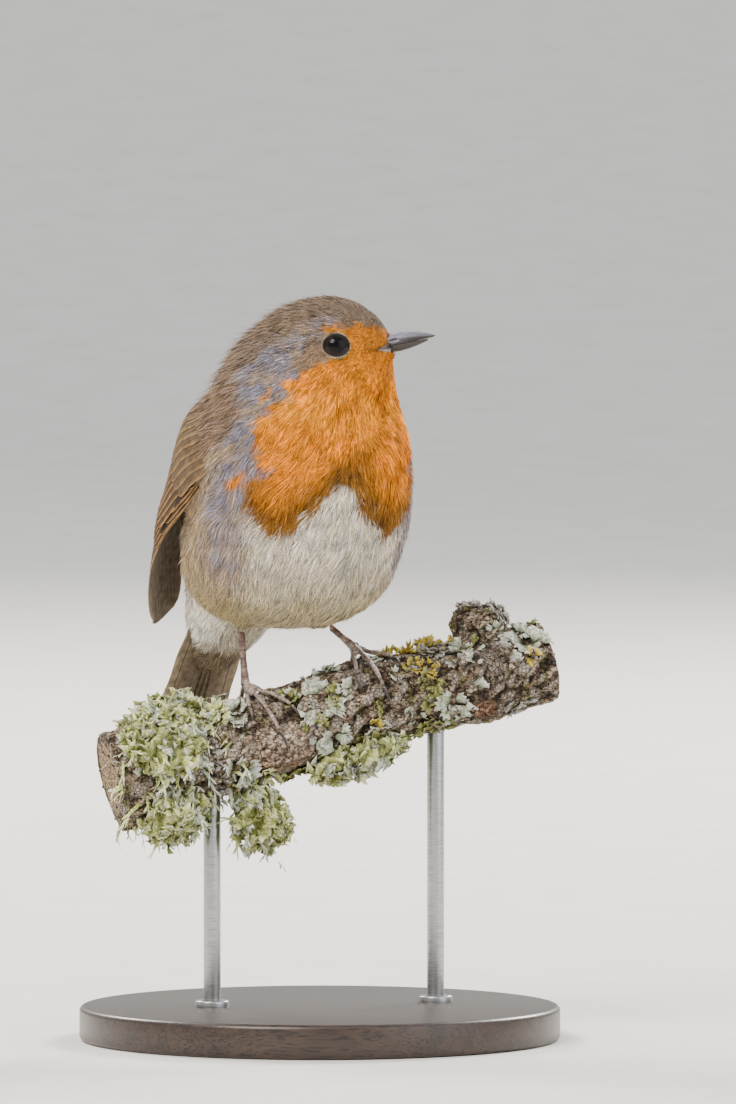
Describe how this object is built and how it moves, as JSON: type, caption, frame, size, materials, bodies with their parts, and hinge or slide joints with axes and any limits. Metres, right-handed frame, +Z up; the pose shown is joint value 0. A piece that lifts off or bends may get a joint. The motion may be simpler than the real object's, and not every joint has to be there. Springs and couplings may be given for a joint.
{
  "type": "european robin on a perch",
  "caption": "Life-size still model of a European robin on a short lichened branch, held over a round base by slim rods.",
  "frame": {"origin": "centre of the round base's underside, on the surface it stands on", "axes": "+Z up; +X along the branch towards its rising end; -Y is the side the breast faces. The bill points along +X, turned 10 degrees towards -Y"},
  "size_m": [0.1123, 0.112, 0.1735],
  "materials": {
    "crown_feathers": "matte olive-brown plumage",
    "breast_feathers": "matte orange plumage",
    "belly_feathers": "matte off-white plumage",
    "rump_feathers": "matte buff plumage",
    "wing_coverts": "matte brown plumage",
    "flight_feathers": "satin brown feathers with buff edges",
    "tail_feathers": "satin brown feathers",
    "horn": "satin dark horn",
    "leg_skin": "satin scaled brown skin",
    "eye": "gloss near-black",
    "bark": "rough grey-brown bark",
    "lichen": "matte pale green crust and lobes",
    "stand_wood": "satin dark brown wood",
    "stand_steel": "brushed satin steel"
  },
  "bodies": {
    "root": {"stand_base": "stand_wood", "stand_rod_1": "stand_steel", "stand_rod_2": "stand_steel", "perch_branch": "bark", "perch_lichen_left_front": "lichen", "perch_lichen_left_top": "lichen", "perch_lichen_left_under": "lichen", "perch_lichen_hanging": "lichen", "perch_lichen_middle_under": "lichen", "wing_right_shoulder": "wing_coverts", "wing_right_inner": "flight_feathers", "wing_right_hand": "flight_feathers", "wing_left_shoulder": "wing_coverts", "wing_left_inner": "flight_feathers", "wing_left_hand": "flight_feathers", "tail_feathers": "tail_feathers", "leg_right_thigh": "belly_feathers", "leg_right_tarsus": "leg_skin", "foot_right_middle_toe": "leg_skin", "foot_right_middle_claw": "horn", "foot_right_inner_toe": "leg_skin", "foot_right_inner_claw": "horn", "foot_right_outer_toe": "leg_skin", "foot_right_outer_claw": "horn", "foot_right_hind_toe": "leg_skin", "foot_right_hind_claw": "horn", "leg_left_thigh": "belly_feathers", "leg_left_tarsus": "leg_skin", "foot_left_middle_toe": "leg_skin", "foot_left_middle_claw": "horn", "foot_left_inner_toe": "leg_skin", "foot_left_inner_claw": "horn", "foot_left_outer_toe": "leg_skin", "foot_left_outer_claw": "horn", "foot_left_hind_toe": "leg_skin", "foot_left_hind_claw": "horn", "head": "crown_feathers", "neck": "breast_feathers", "trunk": "belly_feathers", "rump": "rump_feathers", "bill_upper": "horn", "bill_lower": "horn", "eye_right": "eye", "eye_left": "eye"}
  },
  "joints": []
}
